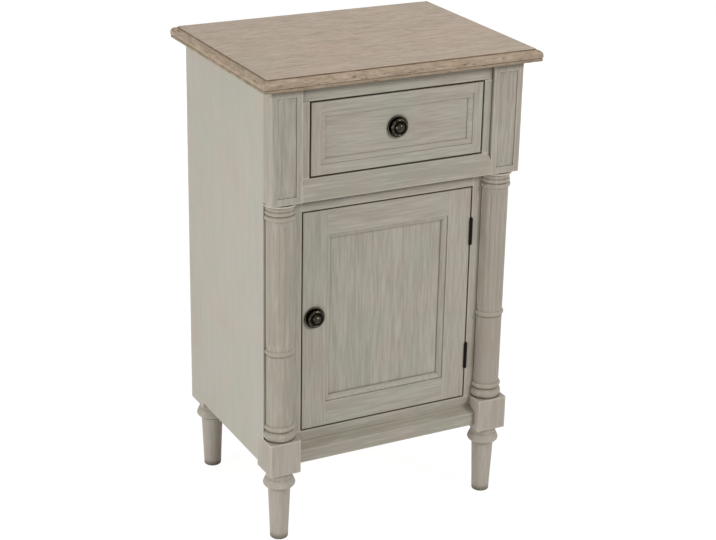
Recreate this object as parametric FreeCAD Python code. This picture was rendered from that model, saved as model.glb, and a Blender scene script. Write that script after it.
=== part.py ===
import FreeCAD, Part
import math
import os

# Nightstand: one drawer over one hinged door, on four turned feet.
# Millimetres. The origin is the middle of the plan, on the floor.
# X runs to the right seen from the front, Y to the back, Z up.

# Overall sizes
overall_height = 700.0
top_width = 426.0
top_depth = 327.0
top_thickness = 18.0
side_overhang = 19.0
front_overhang = 19.0
back_overhang = 11.0
cut_overrun = 2.0
edge_ease = 1.2

# Moulded edge of the top
field_margin = 8.2
field_step = 2.2
field_ease = 0.8
ovolo_run = 6.8
ovolo_drop = 6.6
top_groove_depth = 1.4
top_groove_height = 1.2
top_lip_height = 4.2
top_lip_inset = 0.5
top_lip_round = 1.6

# Corner blocks
block_size = 47.0
plinth_height = 51.0
block_drop = 8.5
frieze_panel_width = 28.5
frieze_panel_low_margin = 10.0
frieze_panel_high_margin = 14.0
frieze_panel_step = 0.9
frieze_panel_depth = 2.4
frieze_panel_slope = 6.5
frieze_block_ease = 0.8
plinth_ease = 1.2

# Split columns
column_radius = 19.7
column_cap_radius = 23.4
column_cap_height = 4.0
column_cap_quirk_radius = 20.4
column_cap_quirk_height = 1.4
column_ring_seat_radius = 19.6
column_upper_ring_radius = 20.9
column_upper_ring_height = 7.0
column_second_ring_radius = 21.4
column_second_ring_height = 6.5
column_third_ring_radius = 22.3
column_third_ring_height = 8.0
column_middle_ring_radius = 21.9
column_middle_ring_height = 7.5
column_middle_ring_rise = 133.0
column_middle_groove_radius = 18.8
column_middle_groove_height = 2.2
column_base_ring_radius = 22.5
column_base_ring_height = 8.0
column_base_neck_radius = 18.8
column_base_neck_height = 1.5
column_torus_radius = 23.4
column_torus_height = 14.5
torus_seat_share = 0.82
flute_count = 16
flute_radius = 3.6
flute_depth = 0.7
flute_low_margin = 7.0
flute_high_margin = 3.5

# Turned feet
foot_height = 110.0
foot_toe_radius = 13.1
foot_toe_round = 2.0
foot_ankle_radius = 16.2
foot_collar_radius = 17.3
foot_collar_height = 4.0
foot_ring_seat_radius = 16.8
foot_ring_radius = 23.4
foot_ring_height = 15.0
foot_ring_edge_share = 0.37
foot_shoulder_share = 0.6
foot_neck_radius = 19.2
foot_neck_height = 10.5

# Carcass boards
side_thickness = 15.0
back_thickness = 6.0
back_rebate = 7.0
floor_thickness = 15.0
dust_thickness = 12.0
housing_depth = 5.0
frame_setback = 26.5
frame_thickness = 20.5
frieze_rail_height = 23.1
frieze_rail_setback = 0.6
frieze_strip_height = 9.0
frieze_land_height = 1.5
surround_setback = 4.8
surround_rail_height = 23.8
surround_stile_width = 12.0
base_moulding_projection = 15.5
base_moulding_height = 20.0
base_moulding_rise = 5.5
cleat_width = 58.0

# Drawer
drawer_opening_height = 107.6
drawer_gap = 2.2
drawer_face_setback = 0.4
drawer_front_thickness = 18.0
drawer_border = 14.9
drawer_moulding_width = 7.5
drawer_recess = 4.0
drawer_panel_thickness = 6.0
drawer_side_thickness = 12.0
drawer_back_room = 29.8
drawer_box_headroom = 5.0
drawer_back_drop = 8.0
drawer_bottom_thickness = 5.0
drawer_bottom_rise = 8.0
drawer_bottom_tongue = 5.0
guide_clearance = 0.5
guide_height = 20.0
stop_side_distance = 29.8
stop_width = 30.0
stop_depth = 10.0
stop_height = 5.0
drawer_knob_rise = 2.0

# Door
door_head_height = 22.8
door_jamb_width = 11.3
door_gap = 2.0
door_border = 37.3
door_moulding_width = 7.7
door_recess = 7.0
door_panel_thickness = 6.0
door_knob_inset = 18.5
door_knob_rise = 7.0

# Framed fronts: groove, and the moulding outline as shares of its width and depth
groove_depth = 8.0
panel_play = 0.5
moulding_quirk_share = 0.16
moulding_setback_share = 0.16
moulding_foot_share = 0.82
moulding_bulge_width_share = 0.58
moulding_bulge_depth_share = 0.36

# Knobs
knob_flange_radius = 15.6
knob_flange_height = 2.4
knob_stem_radius = 6.0
knob_rim_radius = 12.9
knob_rim_height = 6.4
knob_rim_thickness = 3.0
knob_ring_radius = 11.0
knob_ring_height = 8.6
knob_valley_radius = 9.0
knob_valley_height = 6.8
knob_dome_radius = 7.8
knob_height = 13.0
knob_screw_radius = 2.0
knob_screw_bite = 6.0
knob_screw_head_radius = 4.0
knob_screw_head_height = 2.4

# Butt hinges
hinge_length = 39.5
hinge_end_distance = 67.0
hinge_knuckles = 5
hinge_barrel_radius = 2.2
hinge_barrel_forward = 1.6
hinge_leaf_width = 17.0
hinge_leaf_thickness = 1.5
hinge_leaf_gap = 0.4
hinge_knuckle_gap = 0.3
hinge_barrel_clearance = 0.4
hinge_pin_radius = 1.1
hinge_pin_clearance = 0.05
hinge_pin_head_radius = 1.9
hinge_pin_head_height = 1.2
hinge_screw_spacing = 24.0
hinge_screw_radius = 1.3
hinge_screw_length = 13.0
hinge_screw_head_radius = 2.6
hinge_screw_head_depth = 1.3

# Magnetic catch
catch_distance = 30.0
catch_width = 42.0
catch_height = 26.0
catch_drop = 10.0
catch_thickness = 13.0
catch_ease = 2.0
strike_width = 34.0
strike_height = 7.0
strike_thickness = 1.5

# Fasteners of the top and the feet
fastener_clearance = 0.1
top_screw_radius = 2.1
top_screw_bite = 11.0
top_screw_head_radius = 4.2
top_screw_head_height = 2.4
top_screw_end_distance = 45.0
foot_bolt_radius = 4.0
foot_bolt_foot_length = 30.0
foot_bolt_block_length = 26.0

# Turns in degrees, and how far the middle of a quarter round lies in from its corner
full_turn = 360.0
quarter_turn = 90.0
quarter_round_share = 1 - math.sqrt(0.5)
head_round_share = 0.87

# Planes worked out from the sizes above
half_width = top_width / 2 - side_overhang
front = -top_depth / 2 + front_overhang
back = top_depth / 2 - back_overhang
carcass_top = overall_height - top_thickness
plinth_top = foot_height + plinth_height
side_bottom = foot_height + block_drop
frame_front = front + frame_setback
frame_back = frame_front + frame_thickness
block_inside = half_width - block_size
side_inside = half_width - side_thickness
back_inside = back - back_thickness
post_x = half_width - block_size / 2
post_front_y = front + block_size / 2
post_rear_y = back - block_size / 2
drawer_high = carcass_top - surround_rail_height
drawer_low = drawer_high - drawer_opening_height
strip_bottom = drawer_low - frieze_strip_height
frieze_bottom = strip_bottom - frieze_rail_height
door_low = plinth_top
door_high = frieze_bottom - door_head_height
column_cap_low = frieze_bottom - column_cap_height
column_upper_low = column_cap_low - column_upper_ring_height
column_second_low = column_upper_low - column_second_ring_height
shaft_top = column_second_low - column_third_ring_height
surround_front = front + surround_setback
drawer_opening_half = block_inside - surround_stile_width
drawer_half = drawer_opening_half - drawer_gap
drawer_face = surround_front + drawer_face_setback
drawer_back_of_front = drawer_face + drawer_front_thickness
drawer_box_inside = drawer_back_of_front + drawer_side_thickness
drawer_box_top = drawer_high - drawer_box_headroom
drawer_box_end = back_inside - drawer_back_room
drawer_knob_z = (drawer_low + drawer_high) / 2 + drawer_knob_rise
door_opening_half = block_inside - door_jamb_width
door_half = door_opening_half - door_gap
door_thickness = frame_thickness - strike_thickness
door_back = frame_front + door_thickness
door_knob_x = -door_half + door_knob_inset
door_knob_z = (door_low + door_high) / 2 + door_knob_rise
hinge_x = door_half + door_gap / 2
hinge_y = frame_front - hinge_barrel_forward
hinge_reach = door_gap + hinge_end_distance
hinge_levels = (door_low + hinge_reach, door_high - hinge_reach)


def box(x0, x1, y0, y1, z0, z1):
    """Box between two corners."""
    return Part.makeBox(x1 - x0, y1 - y0, z1 - z0, FreeCAD.Vector(x0, y0, z0))


def post(radius, x, y, z0, z1):
    """Upright cylinder between two levels."""
    return Part.makeCylinder(radius, z1 - z0, FreeCAD.Vector(x, y, z0))


def mirrored(shape):
    """The same piece on the other side of the middle plane."""
    return shape.mirror(FreeCAD.Vector(0, 0, 0), FreeCAD.Vector(1, 0, 0))


def chain(stops, place):
    """Edges from stop to stop: two values draw a line, four draw an arc by way of the last two."""
    edges = []
    for start, stop in zip(stops, stops[1:]):
        first = place(start[0], start[1])
        last = place(stop[0], stop[1])
        if len(stop) == 4:
            middle = place(stop[2], stop[3])
            edges.append(Part.Arc(first, middle, last).toShape())
        else:
            edges.append(Part.LineSegment(first, last).toShape())
    return edges


def closed_face(edges):
    """Flat face inside a closed run of edges."""
    return Part.Face(Part.Wire(Part.sortEdges(edges)[0]))


def turned(stops, x, y, z):
    """Solid turned about an upright axis; stops run upwards as radius and height."""
    def place(radius, height):
        return FreeCAD.Vector(x + radius, y, z + height)
    low = (0, stops[0][1])
    high = (0, stops[-1][1])
    edges = chain([low] + stops, place)
    if stops[-1][0] > 0:
        edges += chain([stops[-1][:2], high], place)
    edges += chain([high, low], place)
    return closed_face(edges).revolve(FreeCAD.Vector(x, y, z), FreeCAD.Vector(0, 0, 1), full_turn)


def moulded_block(width, depth, edge):
    """Block that is a rectangle at every level; edge gives its inset and level, from the bottom up."""
    across = edge_prism(edge, width, depth, lambda out, along, level: FreeCAD.Vector(out, along, level))
    along = edge_prism(edge, depth, width, lambda out, along, level: FreeCAD.Vector(along, out, level))
    return across.common(along)


def edge_prism(edge, span, length, point):
    """Prism with the edge outline on both sides of a span, drawn a little longer than its length."""
    near = -length / 2 - cut_overrun
    sides = []
    for sign in (1, -1):
        def place(inset, level):
            return point(sign * (span / 2 - inset), near, level)
        sides.append((chain(edge, place), place(*edge[0][:2]), place(*edge[-1][:2])))
    floor_edge = Part.LineSegment(sides[0][1], sides[1][1]).toShape()
    roof_edge = Part.LineSegment(sides[0][2], sides[1][2]).toShape()
    face = closed_face(sides[0][0] + sides[1][0] + [floor_edge, roof_edge])
    return face.extrude(point(0, -2 * near, 0))


def sunk_field(x0, x1, z0, z1, face_y, edge):
    """Cutter for a sunk field on a front face; edge gives its inset and its depth, from the face inwards."""
    cutter = moulded_block(x1 - x0, z1 - z0, edge)
    cutter.rotate(FreeCAD.Vector(0, 0, 0), FreeCAD.Vector(1, 0, 0), -quarter_turn)
    cutter.translate(FreeCAD.Vector((x0 + x1) / 2, face_y, (z0 + z1) / 2))
    return cutter


def eased(shape, radius, chosen):
    """The piece with the edges that chosen picks, by their middle point, rounded over."""
    edges = [edge for edge in shape.Edges if chosen(edge.BoundBox.Center)]
    return shape.makeFillet(radius, edges)


def same(a, b):
    """Whether two places agree within the modelling tolerance."""
    return math.isclose(a, b, rel_tol=0, abs_tol=hinge_pin_clearance)


def pan_screw(radius, length, head_radius, head_height):
    """Screw pointing up from a low rounded head under the origin."""
    shoulder = (head_radius * head_round_share, -head_height / 2)
    head_stops = [(head_radius / 2, -head_height), (head_radius, 0) + shoulder]
    head = turned(head_stops, 0, 0, 0)
    return head.fuse(post(radius, 0, 0, 0, length)).removeSplitter()


def laid(shape, direction, x, y, z):
    """The piece turned from pointing up to pointing along direction, and set at a place."""
    piece = shape.copy()
    turn = FreeCAD.Rotation(FreeCAD.Vector(0, 0, 1), direction)
    piece.Placement = FreeCAD.Placement(FreeCAD.Vector(x, y, z), turn)
    return piece


def top_slab():
    """Moulded top: lower lip, groove, nose, convex edge, ledge and raised field."""
    nose_low = top_lip_height + top_groove_height
    ledge = top_thickness - field_step
    ovolo_low = ledge - ovolo_drop
    lip_turn = top_lip_round * quarter_round_share
    field_turn = field_ease * quarter_round_share
    edge = [
        (top_lip_inset + top_lip_round, 0),
        (top_lip_inset, top_lip_round, top_lip_inset + lip_turn, lip_turn),
        (top_lip_inset, top_lip_height),
        (top_groove_depth, top_lip_height),
        (top_groove_depth, nose_low),
        (0, nose_low),
        (0, ovolo_low),
        (ovolo_run, ledge, ovolo_run * quarter_round_share, ledge - ovolo_drop * quarter_round_share),
        (field_margin, ledge),
        (field_margin, top_thickness - field_ease),
        (field_margin + field_ease, top_thickness, field_margin + field_turn, top_thickness - field_turn),
    ]
    slab = moulded_block(top_width, top_depth, edge)
    slab.translate(FreeCAD.Vector(0, 0, carcass_top))
    hole_radius = top_screw_radius + fastener_clearance
    for x, y in top_screw_places():
        slab = slab.cut(post(hole_radius, x, y, carcass_top - cut_overrun, carcass_top + top_screw_bite))
    return slab


def top_screw_places():
    """Places of the four screws that hold the top."""
    x = side_inside - cleat_width / 2
    ends = (frame_back + top_screw_end_distance, back_inside - top_screw_end_distance)
    return [(sign * x, y) for sign in (-1, 1) for y in ends]


def right_side_panel():
    """Side board: notched over the plinth block, housed for two shelves, rebated for the back."""
    panel = box(side_inside, half_width, frame_front, back, side_bottom, carcass_top)
    panel = panel.cut(right_plinth_block_solid())
    panel = eased(panel, edge_ease, lambda c: same(c.x, half_width) and same(c.y, frame_front))
    inside = side_inside - cut_overrun
    for low, high in (floor_levels(), dust_levels()):
        panel = panel.cut(box(inside, side_inside + housing_depth, frame_back, back_inside, low, high))
    rebate_side = side_inside + back_rebate
    return panel.cut(box(inside, rebate_side, back_inside, back + cut_overrun, foot_height, overall_height))


def floor_levels():
    """Underside and top of the cupboard floor."""
    return (plinth_top - floor_thickness, plinth_top)


def dust_levels():
    """Underside and top of the dust panel that the drawer runs on."""
    return (drawer_low - dust_thickness, drawer_low)


def right_plinth_block_solid():
    """Plain form of the right plinth block, which its neighbours are cut around."""
    return box(block_inside, half_width, front, front + block_size, foot_height, plinth_top)


def cupboard_floor():
    """Floor of the cupboard, housed in both sides and cut around the plinth blocks."""
    low, high = floor_levels()
    span = side_inside + housing_depth
    board = box(-span, span, frame_back, back_inside, low, high)
    corner = right_plinth_block_solid()
    return board.cut(corner).cut(mirrored(corner))


def dust_panel():
    """Panel between the drawer and the cupboard, housed in both sides."""
    low, high = dust_levels()
    span = side_inside + housing_depth
    return box(-span, span, frame_back, back_inside, low, high)


def back_panel():
    """Thin back, set into the rebates of the sides."""
    span = side_inside + back_rebate
    return box(-span, span, back_inside, back, side_bottom, carcass_top)


def drawer_guides():
    """Two strips on the dust panel that steer the drawer sides."""
    inner = drawer_half + guide_clearance
    guide = box(inner, side_inside, frame_back, back_inside, drawer_low, drawer_low + guide_height)
    return Part.Compound([guide, mirrored(guide)])


def top_cleats():
    """Two rails under the top: they hold its screws and keep the open drawer from tipping."""
    cleat = box(side_inside - cleat_width, side_inside, frame_back, back_inside, drawer_high, carcass_top)
    hole_radius = top_screw_radius + fastener_clearance
    for x, y in top_screw_places():
        cleat = cleat.cut(post(hole_radius, x, y, drawer_high - cut_overrun, carcass_top + cut_overrun))
    return Part.Compound([cleat, mirrored(cleat)])


def top_fixing_screws():
    """Four screws, up through the cleats into the top."""
    length = carcass_top - drawer_high + top_screw_bite
    screw = pan_screw(top_screw_radius, length, top_screw_head_radius, top_screw_head_height)
    upward = FreeCAD.Vector(0, 0, 1)
    return Part.Compound([laid(screw, upward, x, y, drawer_high) for x, y in top_screw_places()])


def drawer_stops():
    """Two blocks behind the inner front that stop the closed drawer."""
    outer = drawer_half - drawer_side_thickness - stop_side_distance
    stop_back = drawer_box_inside + stop_depth
    stop_top = drawer_low + stop_height
    stop = box(outer - stop_width, outer, drawer_box_inside, stop_back, drawer_low, stop_top)
    return Part.Compound([mirrored(stop), stop])


def surround_top_rail():
    """Rail above the drawer, between the frieze blocks."""
    rail = box(-block_inside, block_inside, surround_front, frame_front, drawer_high, carcass_top)
    return eased(rail, edge_ease, lambda c: same(c.y, surround_front) and same(c.z, drawer_high))


def right_surround_stile():
    """Narrow stile between the drawer and the frieze block."""
    inner = drawer_opening_half
    stile = box(inner, block_inside, surround_front, frame_front, drawer_low, drawer_high)
    return eased(stile, edge_ease, lambda c: same(c.y, surround_front) and same(c.x, inner))


def strip_between_blocks(corners):
    """Strip from block to block; corners give its section as Y and Z."""
    def place(y, z):
        return FreeCAD.Vector(-block_inside, y, z)
    section = closed_face(chain(corners + corners[:1], place))
    return section.extrude(FreeCAD.Vector(2 * block_inside, 0, 0))


def frieze_rail():
    """Rail under the drawer, level with the blocks, sloping back to the drawer opening above."""
    face = front + frieze_rail_setback
    slope_top = drawer_low - frieze_land_height
    corners = [(frame_front, frieze_bottom), (face, frieze_bottom), (face, strip_bottom)]
    corners += [(surround_front, slope_top), (surround_front, drawer_low), (frame_front, drawer_low)]
    return eased(strip_between_blocks(corners), edge_ease, lambda c: same(c.x, 0) and same(c.y, face))


def right_frieze_block():
    """Block beside the drawer, with a sunk panel on its front: a small step, then a slope."""
    block = box(block_inside, half_width, front, frame_front, frieze_bottom, carcass_top)
    block = eased(block, frieze_block_ease, lambda c: same(c.y, front) and not same(c.z, carcass_top))
    edge = [(0, 0), (0, frieze_panel_step), (frieze_panel_slope, frieze_panel_depth)]
    left = post_x - frieze_panel_width / 2
    right = post_x + frieze_panel_width / 2
    low = frieze_bottom + frieze_panel_low_margin
    high = carcass_top - frieze_panel_high_margin
    return block.cut(sunk_field(left, right, low, high, front, edge))


def column_stops():
    """Turned outline of a column, from the plinth block up."""
    torus_seat = column_torus_radius * torus_seat_share
    base_neck = column_torus_height + column_base_neck_height
    base_ring = base_neck + column_base_ring_height
    middle_low = column_middle_ring_rise
    middle_high = middle_low + column_middle_ring_height
    groove_low = middle_low - column_middle_groove_height
    stops = [
        (torus_seat, 0),
        (torus_seat, column_torus_height, column_torus_radius, column_torus_height / 2),
        (column_base_neck_radius, column_torus_height),
        (column_base_neck_radius, base_neck),
        (column_radius, base_neck),
        (column_radius, base_ring, column_base_ring_radius, (base_neck + base_ring) / 2),
        (column_radius, groove_low),
        (column_radius, middle_low, column_middle_groove_radius, (groove_low + middle_low) / 2),
        (column_radius, middle_high, column_middle_ring_radius, (middle_low + middle_high) / 2),
        (column_radius, shaft_top - plinth_top),
    ]
    rings = [
        (column_third_ring_radius, shaft_top, column_second_low),
        (column_second_ring_radius, column_second_low, column_upper_low),
        (column_upper_ring_radius, column_upper_low, column_cap_low),
    ]
    for radius, low, high in rings:
        stops.append((column_ring_seat_radius, high - plinth_top, radius, (low + high) / 2 - plinth_top))
    cap_top = frieze_bottom - plinth_top
    quirk_low = cap_top - column_cap_quirk_height
    stops.append((column_cap_radius, column_cap_low - plinth_top))
    stops.append((column_cap_radius, quirk_low))
    stops.append((column_cap_quirk_radius, quirk_low))
    stops.append((column_cap_quirk_radius, cap_top))
    return stops


def right_column():
    """Split column: turned, fluted over its upper shaft, and flat at the back against the frame."""
    column = turned(column_stops(), post_x, post_front_y, plinth_top)
    ring_top = plinth_top + column_middle_ring_rise + column_middle_ring_height
    flute_low = ring_top + flute_low_margin + flute_radius
    flute_high = shaft_top - flute_high_margin - flute_radius
    reach = column_radius - flute_depth + flute_radius
    quarter = flute_count // 4
    for step in range(-quarter, quarter + 1):
        angle = step * 2 * math.pi / flute_count
        x = post_x + reach * math.sin(angle)
        y = post_front_y - reach * math.cos(angle)
        flute = post(flute_radius, x, y, flute_low, flute_high)
        for level in (flute_low, flute_high):
            flute = flute.fuse(Part.makeSphere(flute_radius, FreeCAD.Vector(x, y, level)))
        column = column.cut(flute)
    behind = box(block_inside, half_width, frame_front, front + block_size, plinth_top, frieze_bottom)
    return column.cut(behind)


def right_plinth_block():
    """Block under the column, drilled from below for the foot's bolt."""
    block = right_plinth_block_solid()
    block = eased(block, plinth_ease, lambda c: same(c.y, front) or same(c.z, foot_height))
    return block.cut(foot_bolt_hole(post_x, post_front_y))


def right_rear_block():
    """Rear corner block: a pad under the side and back, with a glue block inside the carcass."""
    near = back - block_size
    pad = box(block_inside, half_width, near, back, foot_height, side_bottom)
    pad = eased(pad, edge_ease, lambda c: same(c.z, foot_height))
    glue_block = box(block_inside, side_inside, near, back_inside, side_bottom, plinth_top - floor_thickness)
    block = pad.fuse(glue_block).removeSplitter()
    return block.cut(foot_bolt_hole(post_x, post_rear_y))


def foot_stops():
    """Turned outline of a foot, from the floor up: taper, collar, sloped ring and neck."""
    neck_low = foot_height - foot_neck_height
    ring_low = neck_low - foot_ring_height
    ring_edge = ring_low + foot_ring_height * foot_ring_edge_share
    collar_low = ring_low - foot_collar_height
    under_radius = foot_ring_radius - (foot_ring_radius - foot_ring_seat_radius) * quarter_round_share
    under_level = ring_low + (ring_edge - ring_low) * quarter_round_share
    shoulder_radius = foot_neck_radius + (foot_ring_radius - foot_neck_radius) * foot_shoulder_share
    toe_turn = foot_toe_round * quarter_round_share
    return [
        (foot_toe_radius - foot_toe_round, 0),
        (foot_toe_radius, foot_toe_round, foot_toe_radius - toe_turn, toe_turn),
        (foot_ankle_radius, collar_low),
        (foot_ring_seat_radius, ring_low, foot_collar_radius, (collar_low + ring_low) / 2),
        (foot_ring_radius, ring_edge, under_radius, under_level),
        (foot_neck_radius, neck_low, shoulder_radius, (ring_edge + neck_low) / 2),
        (foot_neck_radius, foot_height),
    ]


def foot_bolt_hole(x, y):
    """Cutter for the bolt that joins a foot to its block."""
    low = foot_height - foot_bolt_foot_length
    high = foot_height + foot_bolt_block_length
    return post(foot_bolt_radius + fastener_clearance, x, y, low, high)


def foot(x, y):
    """Turned foot, drilled from above for its bolt."""
    return turned(foot_stops(), x, y, 0).cut(foot_bolt_hole(x, y))


def foot_hanger_bolts():
    """Four bolts between the feet and their blocks."""
    low = foot_height - foot_bolt_foot_length
    high = foot_height + foot_bolt_block_length
    places = [(sign * post_x, y) for sign in (-1, 1) for y in (post_front_y, post_rear_y)]
    return Part.Compound([post(foot_bolt_radius, x, y, low, high) for x, y in places])


def right_frame_stile():
    """Upright of the front frame, as it is before any hinge seats are cut."""
    return box(door_opening_half, side_inside, frame_front, frame_back, plinth_top, carcass_top)


def hinged_frame_stile():
    """The right upright, with the seats of the frame leaves, their screws and the barrels."""
    stile = right_frame_stile()
    for level in hinge_levels:
        stile = stile.cut(leaf_seat(level, 1)).cut(barrel_room(level)).cut(screw_holes(level, 1))
    return stile


def frame_top_rail():
    """Rail between the door and the drawer, level with the dust panel, with the catch on its back."""
    return box(-door_opening_half, door_opening_half, frame_front, frame_back, door_high, drawer_low)


def frame_bottom_rail():
    """Rail under the door, between the plinth blocks."""
    return box(-block_inside, block_inside, frame_front, frame_back, side_bottom, door_low)


def base_moulding():
    """Moulding between the plinth blocks, with a sloped top."""
    face = frame_front - base_moulding_projection
    high = side_bottom + base_moulding_height
    corners = [(frame_front, side_bottom), (face, side_bottom), (face, high)]
    corners.append((frame_front, high + base_moulding_rise))
    return eased(strip_between_blocks(corners), edge_ease, lambda c: same(c.x, 0) and same(c.y, face))


def moulding_edge(width, depth):
    """Outline of a panel moulding: a quirk, a convex run and a small upright foot."""
    quirk = width * moulding_quirk_share
    setback = depth * moulding_setback_share
    foot_depth = depth * moulding_foot_share
    bulge = (width * moulding_bulge_width_share, depth * moulding_bulge_depth_share)
    return [(0, 0), (0, setback), (quirk, setback), (width, foot_depth, bulge[0], bulge[1]), (width, depth)]


def framed_front(name, half, low, high, face, thickness, border, moulding_width, recess, panel_thickness):
    """Stiles, rails, panel and mitred moulding of a framed front, by node name."""
    inner = half - border
    inner_low = low + border
    inner_high = high - border
    panel_face = face + recess
    panel_back = panel_face + panel_thickness
    rear = face + thickness

    def corner_edge(c):
        return same(c.y, face) and (same(abs(c.x), half) or same(c.z, low) or same(c.z, high))
    stile = eased(box(inner, half, face, rear, low, high), edge_ease, corner_edge)
    reach = inner + groove_depth
    end_low = low - cut_overrun
    end_high = high + cut_overrun
    stile = stile.cut(box(inner - cut_overrun, reach, panel_face, panel_back, end_low, end_high))
    groove = box(-reach, reach, panel_face, panel_back, inner_low - groove_depth, inner_high + groove_depth)
    rails = []
    for rail_low, rail_high in ((low, inner_low), (inner_high, high)):
        rail = eased(box(-inner, inner, face, rear, rail_low, rail_high), edge_ease, corner_edge)
        tongues = box(-reach, reach, panel_face, panel_back, rail_low, rail_high)
        rails.append(rail.fuse(tongues).removeSplitter().cut(groove))
    grip = groove_depth - panel_play
    panel = box(-inner - grip, inner + grip, panel_face, panel_back, inner_low - grip, inner_high + grip)
    edge = moulding_edge(moulding_width, recess)
    field = sunk_field(-inner, inner, inner_low, inner_high, face, edge)
    return {
        name + "_right_stile": stile,
        name + "_left_stile": mirrored(stile),
        name + "_bottom_rail": rails[0],
        name + "_top_rail": rails[1],
        name + "_panel": panel,
        name + "_moulding": mitred_strips(inner, inner_low, inner_high, face, recess, moulding_width, field),
    }


def mitred_strips(inner, low, high, face, recess, width, field):
    """Four strips round a panel, mitred at the corners and shaped by the sunk field."""
    outer_corners = [(-inner, low), (inner, low), (inner, high), (-inner, high)]
    inner_corners = [(-inner + width, low + width), (inner - width, low + width),
                     (inner - width, high - width), (-inner + width, high - width)]

    def place(x, z):
        return FreeCAD.Vector(x, face, z)
    strips = []
    for index, corner in enumerate(outer_corners):
        after = (index + 1) % len(outer_corners)
        outline = [corner, outer_corners[after], inner_corners[after], inner_corners[index], corner]
        strip = closed_face(chain(outline, place)).extrude(FreeCAD.Vector(0, recess, 0))
        strips.append(strip.cut(field))
    return Part.Compound(strips)


def knob_stops():
    """Turned outline of a knob: broad flange, stem, ringed head and a domed middle."""
    rim_low = knob_rim_height - knob_rim_thickness / 2
    rim_high = knob_rim_height + knob_rim_thickness / 2
    dome_rise = knob_height - knob_valley_height
    sphere = (knob_dome_radius ** 2 + dome_rise ** 2) / (2 * dome_rise)
    lean = math.atan2(knob_dome_radius, sphere - dome_rise) / 2
    dome = (sphere * math.sin(lean), knob_height - sphere + sphere * math.cos(lean))
    rim_seat = (knob_rim_radius + knob_ring_radius) / 2
    return [
        (knob_flange_radius, 0),
        (knob_flange_radius, knob_flange_height),
        (knob_stem_radius, knob_flange_height),
        (knob_ring_radius, rim_low),
        (rim_seat, rim_high, knob_rim_radius, knob_rim_height),
        (knob_valley_radius, knob_valley_height, knob_ring_radius, knob_ring_height),
        (knob_dome_radius, knob_valley_height),
        (0, knob_height, dome[0], dome[1]),
    ]


def knob(x, face, z):
    """Knob standing forward from a face, with the hole of its screw."""
    piece = turned(knob_stops(), 0, 0, 0)
    piece = piece.cut(post(knob_screw_radius + fastener_clearance, 0, 0, -cut_overrun, knob_screw_bite))
    return laid(piece, FreeCAD.Vector(0, -1, 0), x, face, z)


def knob_screw(x, rear, face, z):
    """Screw from the rear of a front into the knob on its face."""
    length = rear - face + knob_screw_bite
    screw = pan_screw(knob_screw_radius, length, knob_screw_head_radius, knob_screw_head_height)
    return laid(screw, FreeCAD.Vector(0, -1, 0), x, rear, z)


def knob_screw_room(x, rear, face, z):
    """Cutter for a knob screw's way through a front."""
    room = post(knob_screw_radius + fastener_clearance, 0, 0, -cut_overrun, rear - face + cut_overrun)
    return laid(room, FreeCAD.Vector(0, -1, 0), x, rear, z)


def drawer_pieces():
    """Every piece that slides with the drawer, by node name."""
    low = drawer_low + drawer_gap
    high = drawer_high - drawer_gap
    pieces = framed_front("drawer", drawer_half, low, high, drawer_face, drawer_front_thickness,
                          drawer_border, drawer_moulding_width, drawer_recess, drawer_panel_thickness)
    panel_face = drawer_face + drawer_recess
    screw_room = knob_screw_room(0, drawer_box_inside, panel_face, drawer_knob_z)
    pieces["drawer_panel"] = pieces["drawer_panel"].cut(screw_room)
    inner = drawer_half - drawer_side_thickness
    bottom_low = drawer_low + drawer_bottom_rise
    bottom_high = bottom_low + drawer_bottom_thickness
    reach = inner + drawer_bottom_tongue
    bottom_front = drawer_box_inside - drawer_bottom_tongue
    bottom = box(-reach, reach, bottom_front, drawer_box_end, bottom_low, bottom_high)
    side = box(inner, drawer_half, drawer_back_of_front, drawer_box_end, drawer_low, drawer_box_top)
    side = side.cut(bottom)
    inner_front = box(-inner, inner, drawer_back_of_front, drawer_box_inside, low, drawer_box_top)
    pieces["drawer_inner_front"] = inner_front.cut(bottom).cut(screw_room)
    pieces["drawer_right_side"] = side
    pieces["drawer_left_side"] = mirrored(side)
    back_near = drawer_box_end - drawer_side_thickness
    back_top = drawer_box_top - drawer_back_drop
    pieces["drawer_back"] = box(-inner, inner, back_near, drawer_box_end, bottom_high, back_top)
    pieces["drawer_bottom"] = bottom
    pieces["drawer_knob"] = knob(0, panel_face, drawer_knob_z)
    pieces["drawer_knob_screw"] = knob_screw(0, drawer_box_inside, panel_face, drawer_knob_z)
    return pieces


def door_pieces():
    """Every piece that swings with the door, by node name."""
    low = door_low + door_gap
    high = door_high - door_gap
    pieces = framed_front("door", door_half, low, high, frame_front, door_thickness,
                          door_border, door_moulding_width, door_recess, door_panel_thickness)
    screw_room = knob_screw_room(door_knob_x, door_back, frame_front, door_knob_z)
    pieces["door_left_stile"] = pieces["door_left_stile"].cut(screw_room)
    hinged = pieces["door_right_stile"]
    for level in hinge_levels:
        hinged = hinged.cut(leaf_seat(level, -1)).cut(barrel_room(level)).cut(screw_holes(level, -1))
    pieces["door_right_stile"] = hinged
    pieces["door_knob"] = knob(door_knob_x, frame_front, door_knob_z)
    pieces["door_knob_screw"] = knob_screw(door_knob_x, door_back, frame_front, door_knob_z)
    pieces["hinge_door_leaves"] = Part.Compound([hinge_leaf(level, -1) for level in hinge_levels])
    pieces["hinge_door_screws"] = hinge_screws(-1)
    strike_x = catch_middle()
    pieces["catch_strike_plate"] = box(strike_x - strike_width / 2, strike_x + strike_width / 2,
                                       door_back, frame_back, high - strike_height, high)
    return pieces


def leaf_span(side):
    """Near and far X of a leaf; side is 1 for the frame and -1 for the door."""
    near = hinge_x + side * hinge_leaf_gap / 2
    far = near + side * hinge_leaf_thickness
    return (min(near, far), max(near, far))


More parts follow.
